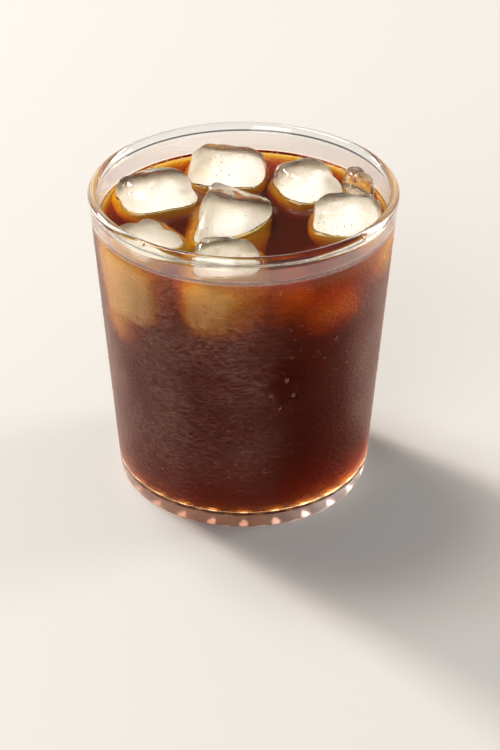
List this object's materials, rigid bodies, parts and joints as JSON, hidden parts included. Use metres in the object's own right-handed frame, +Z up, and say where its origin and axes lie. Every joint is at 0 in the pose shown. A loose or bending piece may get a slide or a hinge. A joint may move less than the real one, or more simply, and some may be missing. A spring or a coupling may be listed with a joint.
{
  "type": "glass of iced coffee",
  "caption": "Plain tapered tumbler of black iced coffee with half-melted ice cubes floating at the top.",
  "frame": {"origin": "centre of the glass's foot, on the surface that it stands on", "axes": "+Z up along the glass's axis; the pictured side faces -Y"},
  "size_m": [0.086, 0.086, 0.09],
  "materials": {
    "clear_glass": "clear pressed glass, fire polished, misted by condensation outside below the drink's level",
    "black_coffee": "stands in for a glossy clear dark red-brown liquid",
    "clear_ice": "wet melting ice, clear at its edges and cloudy white in its middle"
  },
  "bodies": {
    "root": {"glass": "clear_glass", "coffee": "black_coffee", "ice_back_left": "clear_ice", "ice_back": "clear_ice", "ice_back_right": "clear_ice", "ice_right": "clear_ice", "ice_middle": "clear_ice", "ice_front_left": "clear_ice", "ice_front": "clear_ice", "ice_chip": "clear_ice"}
  },
  "joints": []
}
